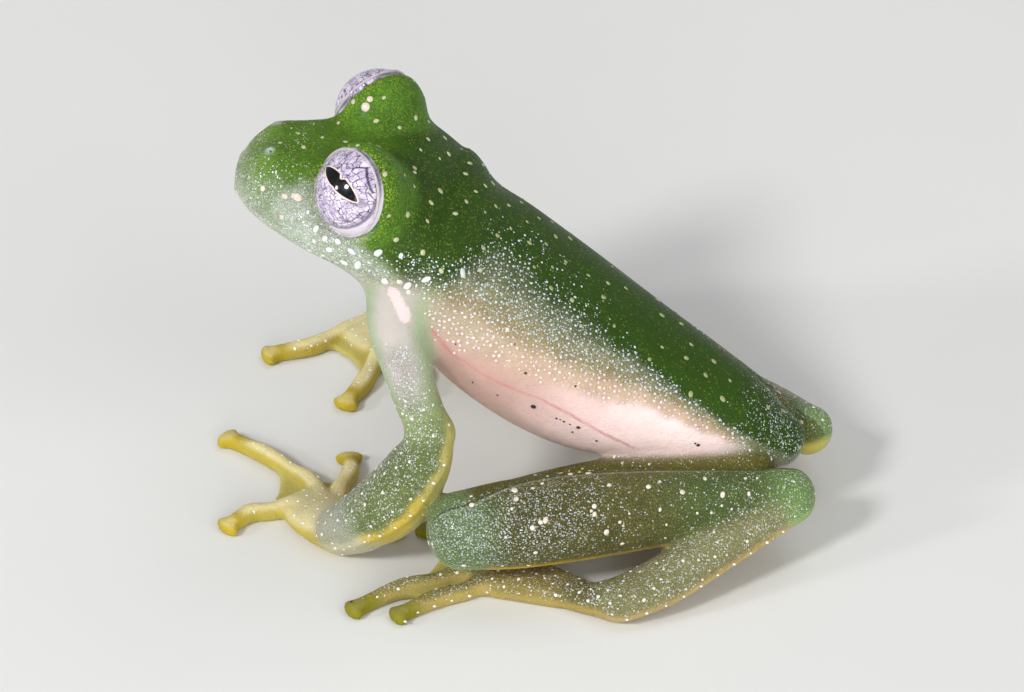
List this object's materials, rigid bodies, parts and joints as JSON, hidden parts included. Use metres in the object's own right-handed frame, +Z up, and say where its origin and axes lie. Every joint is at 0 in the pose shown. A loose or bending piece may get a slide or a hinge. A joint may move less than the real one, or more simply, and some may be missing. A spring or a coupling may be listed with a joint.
{
  "type": "glass frog",
  "caption": "Life-size still model of a small green glass frog, sitting with its forebody raised on its arms and its hind legs folded.",
  "frame": {"origin": "on the floor, under the middle of the whole frog's bounding box", "axes": "the frog faces -X, its left side is -Y, and +Z is up"},
  "size_m": [0.0264, 0.023, 0.0187],
  "materials": {
    "skin": "moist translucent skin, satin with small wet highlights: green above with cream spots, olive flanks with fine white granules, a pale belly and golden fingertips and toe tips",
    "eye": "wet and glossy: lavender silver iris with dark reticulation round a level slit pupil"
  },
  "bodies": {
    "root": {"head": "skin", "torso": "skin", "upper_arm_left": "skin", "upper_arm_right": "skin", "forearm_left": "skin", "forearm_right": "skin", "hand_left": "skin", "hand_right": "skin", "thigh_left": "skin", "thigh_right": "skin", "shank_left": "skin", "shank_right": "skin", "tarsus_left": "skin", "tarsus_right": "skin", "foot_left": "skin", "foot_right": "skin", "eye_left": "eye", "eye_right": "eye"}
  },
  "joints": []
}
